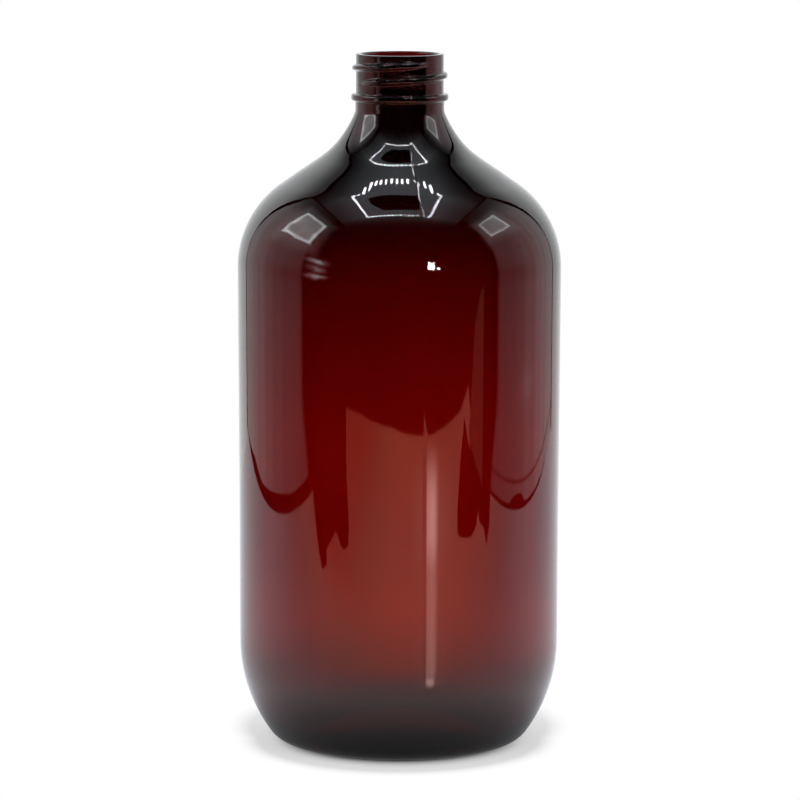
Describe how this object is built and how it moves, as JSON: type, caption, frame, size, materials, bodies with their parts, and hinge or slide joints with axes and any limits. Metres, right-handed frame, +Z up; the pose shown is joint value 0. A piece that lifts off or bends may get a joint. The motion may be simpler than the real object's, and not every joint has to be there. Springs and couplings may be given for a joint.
{
  "type": "boston round bottle",
  "caption": "Empty round bottle with a domed shoulder, a curved heel and a short screw-threaded neck with a stop bead, open at the mouth.",
  "frame": {"origin": "middle of the base, on the surface that the bottle stands on", "axes": "+Z up the bottle's axis to the mouth; +X to the right as the bottle is first seen and -Y towards the viewer, with the screw thread placed round the neck as seen from there"},
  "size_m": [0.0932, 0.0932, 0.1995],
  "materials": {
    "amber_pet": "clear dark amber-red PET, glossy, seen through at the body and near black at the neck and base"
  },
  "bodies": {
    "root": {"bottle": "amber_pet"}
  },
  "joints": []
}
